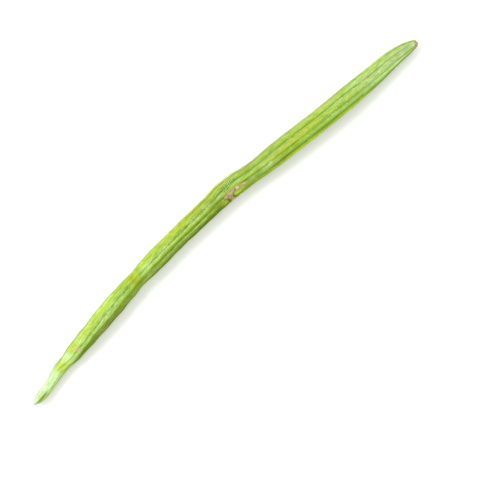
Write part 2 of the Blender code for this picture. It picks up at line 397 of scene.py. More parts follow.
# %% The skin and the dish of the torn end
DISH = (  # share of the end radius, and distance along the pod
    (0.97, 0.22), (0.90, 0.30), (0.80, 0.16), (0.68, -0.20), (0.50, -0.62), (0.30, -0.85),
    (0.12, -0.95),
)
DISH_DEPTH = 1.0
RIM_REACH, TEAR_REACH = 4.0, 2.5  # how far from the end the rim is lumpy, and ragged
RIM_LUMPS = ((0.06, 1.2, 24, 41),)  # share of the radius
RAGGED_RIM = ((0.35, 3.0, 14, 42), (0.2, 3.0, 34, 43))  # millimetres along the pod


def skin_points():
    """Grid of points: middle line plus radius times a unit spoke; the dish rings shrink the last."""
    s, turn = RINGS[:, None], TURNS[None, :]
    angle = rib_angle(s, turn)
    radius = ribbed_radius(s, turn) + kink_relief(s, turn)
    rim = step_up(s, LENGTH - RIM_REACH, LENGTH)
    radius = radius * (1 + rim * noise_layers(s, angle, RIM_LUMPS))
    ahead, aside, above = directions(RINGS)
    bearing = np.radians(angle)[..., None]
    spoke = np.sin(bearing) * aside[:, None] + np.cos(bearing) * above[:, None]
    centre = middle_line(RINGS)
    skin = centre[:, None] + radius[..., None] * spoke
    ragged = step_up(s, LENGTH - TEAR_REACH, LENGTH) * noise_layers(s, angle, RAGGED_RIM)
    skin = skin + ragged[..., None] * ahead[:, None]
    share, forward = np.array(DISH).T
    dish = centre[-1] + share[:, None, None] * (skin[-1] - centre[-1])
    dish = dish + forward[:, None, None] * ahead[-1]
    rings = np.concatenate([skin, dish])
    rings[..., 2] = np.maximum(rings[..., 2], 0.0)
    return rings, middle_line(0.0), centre[-1] - DISH_DEPTH * ahead[-1]


rings, tip_point, dish_point = skin_points()
every = np.concatenate([rings.reshape(-1, 3), [tip_point, dish_point]])
CENTRE = 0.5 * (every.min(axis=0) + every.max(axis=0)) * [1, 1, 0]
skin_xyz = (every - CENTRE) * MM
print("skin spans, mm:", np.round(np.ptp(every, axis=0), 2))

# %% [markdown]
# ## The mesh and its two maps
#
# Quads join the rings, and a fan of triangles closes each end. A first map holds real millimetres
# along and round the skin, so that fibres and specks can be drawn at their true size. A second one
# cuts the long skin into three lengths, laid one above another in a square, for baking.

# %% Building the mesh
def tube_faces(ring_count, round_count):
    """Corner numbers of the quads between rings, and of the fans at both ends, all facing out."""
    i = np.arange(ring_count - 1)[:, None] * round_count
    j = np.arange(round_count)[None, :]
    k = (j + 1) % round_count
    quads = np.stack([i + j, i + round_count + j, i + round_count + k, i + k], axis=-1)
    j, k = j[0], k[0]
    tip, end = ring_count * round_count, ring_count * round_count + 1
    last = (ring_count - 1) * round_count
    fan_tip = np.stack([np.full_like(j, tip), j, k], axis=-1)
    fan_end = np.stack([np.full_like(j, end), last + k, last + j], axis=-1)
    return quads.reshape(-1, 4), fan_tip, fan_end


def mesh_from_arrays(name, points, face_groups):
    """A mesh from points and arrays of faces, filled with foreach_set."""
    corners = np.concatenate([f.ravel() for f in face_groups]).astype(np.int32)
    sizes = np.concatenate([np.full(len(f), f.shape[1]) for f in face_groups]).astype(np.int32)
    mesh = bpy.data.meshes.new(name)
    mesh.vertices.add(len(points))
    mesh.vertices.foreach_set("co", points.astype(np.float32).ravel())
    mesh.loops.add(len(corners))
    mesh.loops.foreach_set("vertex_index", corners)
    mesh.polygons.add(len(sizes))
    starts = np.concatenate([[0], np.cumsum(sizes)[:-1]]).astype(np.int32)
    mesh.polygons.foreach_set("loop_start", starts)
    mesh.polygons.foreach_set("use_smooth", np.ones(len(sizes), bool))
    mesh.update(calc_edges=True)
    mesh.validate()
    return mesh


ring_count, round_count = rings.shape[:2]
faces = tube_faces(ring_count, round_count)
skin_mesh = mesh_from_arrays("pod_skin", skin_xyz, faces)
print("pod_skin:", len(skin_mesh.vertices), "points,", len(skin_mesh.polygons), "faces")

# %% Where each point lies along and round the pod
DISH_STEP = 0.5  # millimetres from ring to ring inside the dish, as the patterns see it

place = np.concatenate([RINGS, LENGTH + DISH_STEP * np.arange(1, len(DISH) + 1)])
far_end = place[-1] + DISH_STEP
s_grid = np.broadcast_to(place[:, None], (ring_count, round_count))
turn_grid = np.broadcast_to(TURNS[None, :], (ring_count, round_count))
angle_grid = rib_angle(np.minimum(s_grid, LENGTH), turn_grid)


def on_points(grid, at_tip, at_dish):
    """Values of the grid as one list, then those of the two end points."""
    return np.concatenate([np.asarray(grid, float).ravel(), [at_tip, at_dish]])


print("the patterns reach from 0 to", far_end, "mm")

# %% The map for baking
BAKE_ROWS = 3
BAKE_MARGIN = 0.01


def lay_out_bake_map(mesh):
    """Cuts the skin's length in equal rows of a square: across is distance along, up is turn."""
    corners = np.empty(len(mesh.loops), np.int32)
    mesh.loops.foreach_get("vertex_index", corners)
    starts = np.empty(len(mesh.polygons), np.int32)
    mesh.polygons.foreach_get("loop_start", starts)
    sizes = np.empty(len(mesh.polygons), np.int32)
    mesh.polygons.foreach_get("loop_total", sizes)
    owner = np.repeat(np.arange(len(sizes)), sizes)
    along = on_points(s_grid, 0.0, far_end)[corners] / far_end
    round_ = on_points((turn_grid + 0.5) / RIBS, np.nan, np.nan)[corners]
    least = np.fmin.reduceat(round_, starts)
    most = np.fmax.reduceat(round_, starts)
    wraps = (most - least > 0.5)[owner] & (round_ < 0.5)
    round_ = np.where(wraps, round_ + 1.0, round_)
    middle = np.add.reduceat(np.nan_to_num(round_), starts) / np.add.reduceat(~np.isnan(round_), starts)
    round_ = np.where(np.isnan(round_), middle[owner], round_)
    row = np.floor(np.add.reduceat(along, starts) / sizes * BAKE_ROWS)[owner]
    u = BAKE_MARGIN + (1 - 2 * BAKE_MARGIN) * np.clip(along * BAKE_ROWS - row, 0, 1)
    v = (row + BAKE_MARGIN + (1 - 3 * BAKE_MARGIN) * round_) / BAKE_ROWS
    layer = mesh.uv_layers.new(name="OFBake")
    layer.uv.foreach_set("vector", np.stack([u, v], axis=1).astype(np.float32).ravel())


lay_out_bake_map(skin_mesh)
print("bake map in", BAKE_ROWS, "rows")

# %% Real millimetres for the patterns
PATTERN_RADIUS = 9.0  # a mean radius, so that patterns have their true size

bearing = np.radians(turn_grid * 360.0 / RIBS)
straight = np.stack([
    on_points(s_grid, 0.0, far_end),
    on_points(PATTERN_RADIUS * np.sin(bearing), 0.0, 0.0),
    on_points(PATTERN_RADIUS * np.cos(bearing), 0.0, 0.0),
], axis=1)
skin_mesh.attributes.new("straight", "FLOAT_VECTOR", "POINT")
skin_mesh.attributes["straight"].data.foreach_set("vector", straight.astype(np.float32).ravel())
print("the straightened skin is", round(2 * np.pi * PATTERN_RADIUS, 1), "mm round")

# %% [markdown]
# ## Where each colour lies
#
# The skin isn't one green. The waist between two seeds is yellower, the skin over a seed is paler
# and waxy, and olive blotches are the skin's own. The grooves are a deeper green with painted shade
# in them, and the darker olive along the low side is painted shade. The lighter and darker places
# hold painted light and painted shade, and the paler rib and fold crests are painted highlight.
# Where the wax is thin the green is purer. This could be painted by hand on an image, but an image
# has one fixed sharpness. Here each colour is a list of soft patches, each with its place along the
# pod and its reach, its angle round the pod and its spread, and its strength. The far side, which
# is out of sight, follows the seeds alone.

# %% Pale, waxy and purer places
MINT = (
    (33, 4, -44, 16, 0.35), (35, 5, 47, 14, 0.3), (2.0, 3.0, 0, 400, 1.0), (23, 8, 4, 9, 0.8),
    (48, 4, 0, 8, 0.5), (12, 8, 50, 20, 0.5), (30, 5, 40, 14, 0.3), (47, 8, 32, 16, 0.65),
    (75, 16, 36, 18, 0.25), (190, 50, 44, 10, 0.12), (450, 12, 0, 40, 0.25), (367, 6, 16, 10, 0.35),
    (388, 8, 38, 12, 0.35), (356, 5, -14, 9, 0.25),
)
# pale bloom; on the low side near the tip the pale is painted light
PALE = (
    (8, 16, 16, 80, 0.9), (25, 9, 10, 70, 0.9), (49.2, 4.5, 28, 26, 0.45), (9, 5, -25, 12, -0.5),
    (68, 7, 14, 12, 0.55), (92, 12, -6, 20, 0.45), (114, 12, 2, 18, 0.4), (158, 9, 10, 10, 0.3),
    (176, 8, 8, 10, 0.35), (208, 8, 6, 12, 0.3), (224, 6, 12, 12, 0.35), (287, 7, -18, 16, 0.45),
    (355, 14, 30, 24, 0.15), (390, 24, 6, 40, 0.28), (415, 18, -10, 46, 0.36),
    (432, 12, 0, 46, 0.36), (44, 11, -26, 34, 0.5), (52, 8, 0, 16, 0.45), (72, 12, -10, 14, 0.35),
    (345, 22, -22, 10, 0.15), (190, 40, -35, 4, 0.45), (48, 9, 34, 14, 0.2), (72, 22, 44, 18, 0.3),
    (32.5, 4, 0, 60, 0.4), (43.5, 3.2, -14, 10, -0.45), (48.5, 3.5, -42, 10, 0.35),
    (53.5, 3.5, -40, 10, 0.5), (426, 11, -51, 7, 0.4), (430, 6, -4, 12, -0.3),
    (150, 5, 4, 44, 0.28), (62, 4, -30, 13, 0.4), (238, 4, 8, 22, 0.25), (102, 4, -38, 9, 0.3),
    (270, 4, -20, 9, 0.22), (446, 3, 0, 30, 0.25), (105, 14, 46, 12, 0.3), (165, 18, -2, 6, 0.35),
    (300, 44, 0, 7, 0.25), (350, 34, 66, 12, 0.3), (405, 18, 58, 22, 0.4), (225, 22, 45, 24, 0.05),
    (262, 18, 66, 14, 0.3), (207, 18, -30, 6, 0.2), (300, 50, 68, 12, 0.25), (255, 14, 12, 7, 0.35),
    (285, 14, 25, 6, 0.3), (136.5, 4, 0, 8, 0.6), (447, 2, 0, 30, 0.4), (374, 20, -25, 12, 0.12),
    (404, 22, -34, 16, 0.22), (436, 14, -32, 22, 0.2), (438, 12, 6, 50, 0.25),
)
WAXY = (
    (158, 5, 7, 9, 0.9), (166, 3, 5, 9, 0.9), (175, 3, 8, 9, 1.0), (207, 5, 6, 10, 0.7),
    (224, 4, 9, 10, 1.0), (287, 4, -18, 12, 0.9), (247, 6, 24, 16, 0.5), (256, 5, 30, 12, 0.6),
    (20, 16, 2, 14, 0.9), (70, 14, 12, 12, 0.8), (100, 12, -4, 14, 0.6), (360, 14, 4, 34, 0.35),
    (385, 16, 6, 36, 0.4), (410, 18, 0, 44, 0.4), (190, 30, 6, 14, 0.4), (320, 24, 2, 26, 0.15),
)
THIN_WAX = (  # the green is purer here
    (9, 5, -25, 12, 0.6), (40, 14, -50, 18, 0.5), (72, 12, -60, 14, 0.6), (165, 16, -66, 14, 0.5),
    (205, 22, -60, 16, 0.8), (226, 14, -46, 14, 0.9), (250, 14, -64, 14, 0.6),
    (305, 22, -60, 14, 0.7), (345, 26, -62, 14, 0.8), (378, 16, -56, 14, 0.7),
    (350, 30, -6, 14, 0.25), (374, 12, -13, 6, 0.5), (374, 12, 25, 6, 0.45), (320, 26, -42, 6, 0.5),
    (195, 14, -34, 9, 0.4), (72, 12, 4, 8, 0.4), (234, 5, -46, 8, 0.6), (366, 5, 20, 8, 0.5),
    (358, 6, -8, 8, 0.5), (86, 5, -8, 8, 0.5), (406, 5, -22, 8, 0.4), (176, 8, -60, 10, 0.5),
)

print(len(MINT + PALE + WAXY + THIN_WAX), "patches of thicker and thinner wax")

# %% Yellow, tan and olive places, and olive painted shade on the low side
YELLOW = (
    (41.3, 6.2, 8, 42, 0.88), (59, 6, 30, 30, 0.6), (75, 16, 36, 30, 0.65), (104, 17, 38, 20, 0.6),
    (136.5, 4.4, 24, 30, 1.3), (136, 4.0, -22, 16, 1.1), (150, 9, 42, 22, 0.45),
    (186, 24, 46, 22, 0.7), (190, 42, -5, 3.5, 0.45), (212, 18, 44, 20, 0.65),
    (272, 10, -58, 6, 0.8), (236, 10, 52, 20, 0.5), (300, 30, -9, 12, 0.5), (330, 22, 8, 14, 0.5),
    (345, 30, 52, 22, 0.35), (405, 18, 55, 25, 0.3), (325, 40, -68, 11, 0.5),
    (205, 30, -62, 12, 0.5), (48, 4, -6, 20, 0.35), (126, 5, 41, 12, 0.6),
)
BLUSH = (  # the tan of riper skin
    (246, 12, 60, 14, 0.6), (262, 14, 62, 14, 1.0), (274, 8, 66, 14, 1.0), (300, 26, 66, 14, 0.9),
    (428, 22, 0, 48, 0.45), (300, 26, -66, 12, 0.4), (318, 30, 12, 16, 0.3), (215, 20, 20, 20, 0.2),
    (185, 32, -1, 5, 0.45), (335, 24, 60, 16, 0.6), (362, 18, 58, 16, 0.5), (300, 60, 14, 10, 0.35),
    (225, 30, 56, 14, 0.35), (292, 10, -18, 14, 0.35), (265, 5, -22, 6, 0.7),
    (395, 14, 12, 18, 0.35), (160, 40, -64, 6, 0.25), (96, 4, -4, 9, 0.5), (178, 32, 68, 9, 0.45),
    (254, 4, -9, 7, 0.35), (262, 4.5, -33, 9, 0.45), (61, 4, -22, 9, 0.25),
)
BRIGHT = (  # fresh green beside the scar and along the low side
    (238.0, 3.0, -46, 9, 0.5), (253.2, 4.9, -47, 11, 1.0), (312, 9, -66, 10, 0.5),
    (333, 7, -65, 12, 0.6), (350, 9, -67, 11, 0.5), (368, 8, -65, 13, 0.65), (384, 8, -63, 10, 0.4),
)
# olive blotches, and along the low side olive painted shade
OLIVE_AND_PAINTED_SHADE = (
    (225, 22, 26, 26, 0.22), (250, 12, 22, 22, 0.22), (7.5, 6.0, -25, 13, 1.3),
    (14, 4, -24, 9, 0.6), (60, 12, -60, 20, 0.6), (84, 20, -54, 18, 0.9), (136.5, 3.4, 24, 26, 0.8),
    (136.5, 3.5, -16, 18, 0.5), (190, 70, -76, 12, 0.5), (112, 18, -50, 20, 0.75),
    (136, 8, -34, 14, 0.6), (160, 24, -22, 8, 0.6), (190, 42, -22, 6, 0.8), (234, 8, -34, 8, 0.85),
    (231, 9, -11, 5, 0.9), (229, 5, -48, 8, 0.6), (268, 10, 62, 20, 0.8), (272, 12, -78, 20, 0.5),
    (300, 24, -41, 5, 0.55), (234, 6, -45, 8, 0.5), (160, 60, -84, 22, 0.85),
    (220, 30, -80, 20, 0.8), (430, 16, -66, 20, 0.3), (395, 26, -84, 16, 0.45),
)
# painted shade: the low side of the pod darker
SHADE = (
    (70, 16, -64, 18, 0.9), (90, 16, -66, 16, 0.8), (112, 14, -68, 14, 0.6),
    (160, 18, -66, 12, 0.6), (190, 42, -58, 12, 1.0), (218, 18, -60, 12, 0.6),
    (174, 7, -56, 9, 0.3), (100, 12, -60, 14, 0.6), (235, 10, -58, 10, 0.6), (300, 18, -47, 5, 0.4),
    (225, 190, -82, 12, 0.45), (303, 9, -46, 8, 0.6),
)

print(len(YELLOW + BLUSH + BRIGHT + OLIVE_AND_PAINTED_SHADE + SHADE), "patches of riper, fresher and shaded skin")

# %% Lighter and darker skin: tone, painted light and painted shade
# partly the skin's own tone, partly painted light where light fell more and painted shade where it fell
# less
TONE_AND_PAINTED_LIGHT = (  # 1 is lighter than the rest and -1 is darker
    (45, 12, -24, 14, 1.0), (46, 10, 16, 16, 0.4), (42, 8, 38, 14, 0.8), (50, 8, -4, 10, 0.4),
    (20, 10, -20, 12, 0.6), (75, 20, 32, 18, 0.35), (104, 16, 42, 18, 1.1), (165, 13, 44, 12, 1.0),
    (262, 18, 68, 16, 1.0), (240, 10, 64, 14, 0.8), (190, 30, -4, 8, 0.5), (135, 10, 8, 14, 0.5),
    (318, 24, 36, 16, 0.4), (338, 24, -14, 14, 0.6), (312, 16, -8, 12, 0.4),
    (350, 22, -28, 10, 0.5), (405, 16, -34, 12, 0.7), (290, 16, -52, 12, 0.7),
    (310, 14, -66, 10, 0.5), (175, 34, -64, 12, -0.8), (190, 38, -34, 4.5, 0.8),
    (190, 44, -22, 6, -0.4), (190, 42, -5, 4, 0.5), (172, 50, 44, 6, 0.4), (72, 12, -32, 8, 0.5),
    (22, 8, -40, 14, 0.7), (46, 12, -40, 11, 0.9), (10, 8, 0, 40, -0.3), (104, 14, 12, 7, 0.8),
    (165, 14, -12, 6, 1.0), (98, 12, -24, 8, 0.7), (60, 8, -22, 8, 0.6), (300, 30, -60, 9, 0.8),
    (405, 14, -43, 10, 0.6), (180, 34, 66, 11, -0.5), (404, 12, 24, 30, -0.6),
    (436, 16, 10, 50, -0.5), (104, 14, -44, 10, 0.5), (413, 9, -41, 8, 0.8), (130, 12, -41, 6, 0.6),
    (70, 12, 54, 9, -0.7), (72, 10, -27, 6, 0.6), (166, 11, 0, 6, -0.9), (295, 14, -49, 5, 0.5),
    (38.5, 3, 48, 14, -0.6), (37.0, 4, 10, 14, 0.8), (43.5, 3.5, 45, 14, -1.2),
    (43.5, 3.2, -14, 10, -1.1), (48.5, 3, 42, 12, -0.5), (48.5, 3, -14, 10, -0.7),
    (58.5, 3, 40, 12, -0.5), (58, 3.5, -36, 9, 0.6), (426, 11, -50, 7, 1.0),
    (426, 10, -25, 6, -0.5), (430, 6, -6, 12, -0.6), (150, 5, 14, 34, 0.4), (102, 4, -38, 9, 0.5),
    (190, 4.5, 12, 12, 0.7), (206, 4, 7, 8, -0.9), (254, 4, -9, 7, 0.5), (310, 6, -50, 10, 0.9),
    (86, 5, -8, 8, -0.5), (238, 4, 34, 8, -0.6), (135, 14, -15, 7, 0.7), (165, 16, -42, 6, 1.0),
    (224, 14, -27, 6, 0.6), (225, 14, 42, 12, -0.7), (315, 14, 4, 12, -0.4),
    (270, 12, -52, 10, 0.6), (255, 8, 31, 8, 0.5), (136, 5, 0, 9, -0.6), (237, 3, -26, 6, 0.9),
    (61.4, 3, -8, 10, 0.7), (205, 30, -62, 12, -0.4), (210, 30, -40, 8, -0.5), (18, 9, 8, 26, -0.5),
    (345, 18, -40, 8, -0.3), (76, 14, -66, 12, -0.5),
)

print(len(TONE_AND_PAINTED_LIGHT), "patches of lighter and darker skin")

# %% Marks, painted shade in the creases, and the green of the grooves
# dark marks, and painted shade in the creases beside the scar's neck and along the low side
DARK_MARKS_AND_CREASE_SHADE = (
    (247.9, 0.7, -50, 6, 0.3), (240.6, 1.1, -49, 8, 0.5), (222, 7, -50, 6.0, 0.4),
    (248.2, 0.8, -50, 5, 0.55), (216, 12, -52, 4, 0.4), (251.0, 0.7, -25, 4, 0.8),
    (256.3, 0.5, 28, 3, 0.8), (232.0, 7.5, -33, 2.4, 0.65), (240.6, 0.8, 37, 4, 0.5),
    (438, 3, 66, 8, 0.4),
)
TAN = (  # dry cork outside the scar
    (60.0, 2.2, -2, 7, 0.85), (63.0, 1.6, -13, 9, 0.9), (61.4, 3.0, -8, 10, 0.45),
    (77, 1.2, 62, 6, 0.5), (153, 1.2, -17, 4, 0.5), (291.5, 1.2, -29, 4, 0.6),
    (34, 1.2, -72, 14, 0.9), (394, 3.5, 34, 6, 0.35), (443.5, 2.8, -64, 16, 0.9),
    (446.5, 1.6, -42, 20, 0.8), (396.2, 1.5, 17, 8, 0.78),
)
SPOTS = (
    (447.9, 0.9, -28, 16, 1.0), (446.1, 0.7, -66, 9, 1.0), (248.6, 0.4, -60, 4, 0.5),
    (243.0, 0.5, -15, 4, 0.8), (396.2, 0.6, 17, 4, 0.5), (316.8, 0.6, 20, 3, 0.9),
    (352, 0.7, 52, 4, 0.7), (43.4, 0.7, 84, 7, 0.9), (241.2, 0.6, 84, 6, 0.8),
    (99.8, 0.7, -13, 4, 0.6), (21.3, 0.6, -3, 5, 0.4), (0.0, 0.9, 0, 400, 0.8),
    (226, 4.5, -10, 4, 0.35), (235, 4, -12, 3, 0.25), (274, 6, 76, 6, 0.4), (262, 5, 80, 5, 0.25),
)
FAINT_GROOVES = (  # where the grooves show less
    (45, 12, -38, 14, 0.8), (70, 36, 48, 20, 0.7), (165, 60, 46, 18, 0.65), (60, 20, 26, 12, 0.5),
    (8, 14, 10, 60, 0.5),
)
# the grooves' deeper green is partly painted shade
GROOVE_GREEN_AND_SHADE = (  # how green the grooves are along the pod
    (0, 0.35), (60, 0.55), (130, 0.75), (180, 1.0), (280, 0.9), (330, 0.75), (450, 0.7),
)
TORN_WIDTH = 2.2  # how far the dry rim of the torn end reaches

print(len(DARK_MARKS_AND_CREASE_SHADE + TAN + SPOTS), "marks")

# %% How the colours are broken up, and the rule of the far side
# across each rib, the groove's deeper green and painted shade
GROOVE_FROM, GROOVE_TO = 0.58, 0.98  # places across a rib between which its green deepens
# paler rib crests: painted highlight
CREST_WIDTH = 0.16
OUT_OF_SIGHT = (80, 115)  # degrees from the top between which the skin goes out of sight
SEEDS_FADE = (210, 330)  # places between which the seeds stop showing in the colour
BREAKS = ((0.34, 6.5, 40, 53), (0.16, 2.5, 90, 54))


def painted(listed, least=0.0):
    """A list's soft patches on the grid of the skin, kept between a least value and 1."""
    return np.clip(patches(listed, s_grid, angle_grid), least, 1.0)


across = rib_across(turn_grid)
# deeper green and painted shade in the grooves
green = step_up(across, GROOVE_FROM, GROOVE_TO) * curve(GROOVE_GREEN_AND_SHADE, s_grid)
unseen = step_up(np.abs(turned(angle_grid, 0.0)), *OUT_OF_SIGHT)
over_seed = 0.5 + 0.5 * seed_wave(s_grid)
towards_tip = 1 - step_up(s_grid, *SEEDS_FADE)
blotch = 0.5 + 0.5 * soft_noise(s_grid, angle_grid, 23.0, 12, 51)
broken = 0.86 + noise_layers(s_grid, angle_grid, BREAKS)
frayed = TORN_WIDTH + 0.7 * soft_noise(s_grid, angle_grid, 1.6, 20, 52)
folds = puckers(s_grid, angle_grid)
print(f"out of sight: {unseen.mean():.0%} of the points")

# %% The masks, one number a point for each colour
masks = {
    "groove": green * (1 - painted(FAINT_GROOVES)),
    "crest": bell(across, CREST_WIDTH),
    "yellow": painted(YELLOW) + unseen * (0.25 + 0.45 * (1 - over_seed) * towards_tip) * blotch,
    "pale": painted(PALE) + unseen * 0.5 * over_seed * (0.4 + 0.6 * towards_tip) * (1 - blotch),
    # olive blotches and painted shade on the low side; on the far side, olive waists
    "olive_and_painted_shade": painted(OLIVE_AND_PAINTED_SHADE) * broken + unseen * 0.35 * blotch * (1 - over_seed),
    "shade": painted(SHADE) * broken,
    "blush": painted(BLUSH) + unseen * 0.30 * blotch * over_seed,
    "bright": painted(BRIGHT),
    "thin_wax": painted(THIN_WAX),
    "scarred": np.clip(np.maximum(scar_distance(s_grid, angle_grid), painted(TAN) - 0.5), -2.0, 2.0),
    "mint": painted(MINT),
    # painted light and painted shade, with the skin's own tone
    "light": painted(TONE_AND_PAINTED_LIGHT, -1.0),
    "waxy": painted(WAXY) + 0.35 * unseen * blotch,
    # the two creases take painted shade as well
    "marks_and_crease_shade": np.minimum(painted(DARK_MARKS_AND_CREASE_SHADE) + 0.5 * creases(s_grid, angle_grid, 0.7), 1.0),
    "spot": painted(SPOTS),
    # pale fold crests are painted highlight, and the hollows between them are painted shade
    "fold": np.clip(1.6 * folds - 0.5, 0.0, 1.0),
    "between": np.clip(-1.3 * folds, 0.0, 1.0),
    "torn_in": np.clip(s_grid - LENGTH + frayed, -3.0, 3.0),
}
for name, grid in masks.items():
    at_dish = 3.0 if name == "torn_in" else 0.0
    numbers = on_points(grid, grid[0].mean(), at_dish).astype(np.float32)
    skin_mesh.attributes.new(name, "FLOAT", "POINT")
    skin_mesh.attributes[name].data.foreach_set("value", numbers)
    print(f"{name:8s} covers {np.mean(grid > 0.5):.1%}")

# %% [markdown]
# ## Fresh green skin
#
# The skin of a fresh pod is a tough plant skin that grew its own thin bloom of wax. The bloom
# scatters light, so the skin is neither shiny nor dull: its roughness is near 0.45, its index of
# refraction that of wax, about 1.45, and little of what it returns is mirrored. Some light goes a
# millimetre deep and comes out green. Fine fibres run along it, about half a millimetre apart, and
# pale pores a millimetre long are scattered over it. A scar is cork: tan, crumbly and fully dull.
# One noise could drive it all, but fibres, wax and cork each have a grain of their own size.

# %% Colours and the one function that adds a node
def linear(hex_colour):
    """Linear red, green, blue and alpha from an sRGB hex value."""
    srgb = np.array([int(hex_colour[i:i + 2], 16) for i in (1, 3, 5)]) / 255.0
    low, high = srgb / 12.92, ((srgb + 0.055) / 1.055) ** 2.4
    return (*np.where(srgb <= 0.04045, low, high).tolist(), 1.0)


def add_node(tree, kind, inputs=(), **settings):
    """Adds a node with its settings, and fills each input with a value or a link."""
    made = tree.nodes.new(kind)
    for name, value in settings.items():
        setattr(made, name, value)
    for socket, value in dict(inputs).items():
        if isinstance(value, bpy.types.NodeSocket):
            tree.links.new(value, made.inputs[socket])
        else:
            made.inputs[socket].default_value = value
    return made


def new_material(name):
    """An empty node material and its tree."""
    material = bpy.data.materials.new(name)
    material.use_nodes = True
    material.node_tree.nodes.clear()
    return material, material.node_tree


POD_GREEN = "#8FC036"
print("body green, linear:", [round(v, 3) for v in linear(POD_GREEN)[:3]])

# %% The skin's patterns at their real sizes
# Each soft pattern: its length and width in millimetres, how much finer detail, and its share.
SOFT_PATTERNS = {
    "fibres": (10.0, 0.45, 4.0, 0.62),
    "bands": (46.0, 2.4, 2.0, 0.5),
    "mottle": (5.0, 2.2, 4.0, 0.55),
    "dashes": (5.5, 0.9, 2.0, 0.5),  # short dark dashes in the grooves
    "blots": (1.5, 1.5, 2.0, 0.5),
    "grain": (0.42, 0.42, 5.0, 0.5),  # crumbs of cork
    "flakes": (1.5, 0.8, 1.0, 0.5),  # flakes of wax
}
PORE_WIDTH, PORE_LENGTH = 0.9, 2.0  # spacing of the pale pores
CRACK = 1.7  # plates of cork between cracks

pod_skin, skin_tree = new_material("fresh_moringa_skin")
place_on_skin = add_node(skin_tree, "ShaderNodeAttribute", attribute_name="straight").outputs["Vector"]


def pattern(kind, length, width, inputs=(), **settings):
    """A texture on the straightened skin, in units of the pattern's length and width."""
    scale = (1 / length, 1 / width, 1 / width)
    places = add_node(skin_tree, "ShaderNodeMapping", {"Vector": place_on_skin, "Scale": scale})
    inputs = {"Vector": places.outputs[0], "Scale": 1.0, **dict(inputs)}
    return add_node(skin_tree, kind, inputs, **settings)


on_skin = {"even": 1.0}
for name in masks:
    on_skin[name] = add_node(skin_tree, "ShaderNodeAttribute", attribute_name=name).outputs["Fac"]
for name, (length, width, detail, share) in SOFT_PATTERNS.items():
    finer = {"Detail": detail, "Roughness": share}
    on_skin[name] = pattern("ShaderNodeTexNoise", length, width, finer).outputs["Fac"]
plates = pattern("ShaderNodeTexVoronoi", CRACK, CRACK, feature="DISTANCE_TO_EDGE")
pores = pattern("ShaderNodeTexVoronoi", PORE_LENGTH, PORE_WIDTH)
chance = add_node(skin_tree, "ShaderNodeSeparateColor", {"Color": pores.outputs["Color"]})
on_skin["plates"] = plates.outputs["Distance"]
on_skin["from_pore"] = pores.outputs["Distance"]
on_skin["chance"] = chance.outputs["Red"]
on_skin["along"] = add_node(skin_tree, "ShaderNodeSeparateXYZ", {"Vector": place_on_skin}).outputs["X"]
print(len(on_skin), "values to mix:", ", ".join(on_skin))

# %% How the patterns make the marks
# Each row names what it makes, then how, then from what. FADE goes from 0 at its first number to 1
# at its second, or between its last two. The others are sums of two or three values.
MARKS = (
    ("pore_size", "FADE", "chance", 0.4, 1.0, 0.0, 0.22),
    ("pore", "SUBTRACT", "pore_size", "from_pore"),
    ("pore", "FADE", "pore", 0.0, 0.10),
    ("cork", "MULTIPLY_ADD", "blots", 1.1, "scarred"),
    ("cork", "MULTIPLY_ADD", "grain", 0.9, "cork"),
    ("cork", "FADE", "cork", 0.88, 1.12),
    ("torn", "MULTIPLY_ADD", "fibres", 3.2, "torn_in"),
    ("torn", "MULTIPLY_ADD", "blots", 1.2, "torn"),
    ("torn", "FADE", "torn", 2.1, 2.5),
    ("banded", "FADE", "bands", 0.40, 0.62),
    ("mottled", "FADE", "mottle", 0.42, 0.66),
    ("dashed", "FADE", "dashes", 0.50, 0.66),
    ("dashed", "MULTIPLY", "dashed", "groove"),
    ("crumbs", "FADE", "grain", 0.48, 0.66),
    ("crumbs", "MULTIPLY", "crumbs", "cork"),
    ("cracked", "FADE", "blots", 0.42, 0.55),
    ("cracked", "MULTIPLY", "cracked", "cork"),
    ("cracks", "MULTIPLY_ADD", "grain", 0.12, "plates"),
    ("cracks", "FADE", "cracks", 0.05, 0.11, 1.0, 0.0),
    ("cracks", "MULTIPLY", "cracks", "cracked"),
    ("pale_cork", "FADE", "mottle", 0.50, 0.60),
    ("pale_cork", "MULTIPLY", "pale_cork", "cork"),
    ("grey_cork", "FADE", "blots", 0.50, 0.60),
    ("grey_cork", "MULTIPLY", "grey_cork", "cork"),
    ("dry_brown", "FADE", "fibres", 0.42, 0.60),
    ("dry_brown", "MULTIPLY", "dry_brown", "torn"),
    ("dark_brown", "FADE", "blots", 0.50, 0.62),
    ("dark_brown", "MULTIPLY", "dark_brown", "torn"),
    ("flecks", "MULTIPLY_ADD", "waxy", 0.22, "flakes"),
    ("flecks", "FADE", "flecks", 0.66, 0.76),
    ("by_fibres", "FADE", "fibres", 0.30, 0.62, 0.45, 1.0),
    ("by_mottle", "FADE", "mottle", 0.34, 0.58, 0.45, 1.0),
)
print("the marks take", len(MARKS), "steps")

# %% How the patterns make light and dark, sheen and relief
THIN_WAX_BLUE = 0.3  # share of the blue that is left where the wax is thinnest

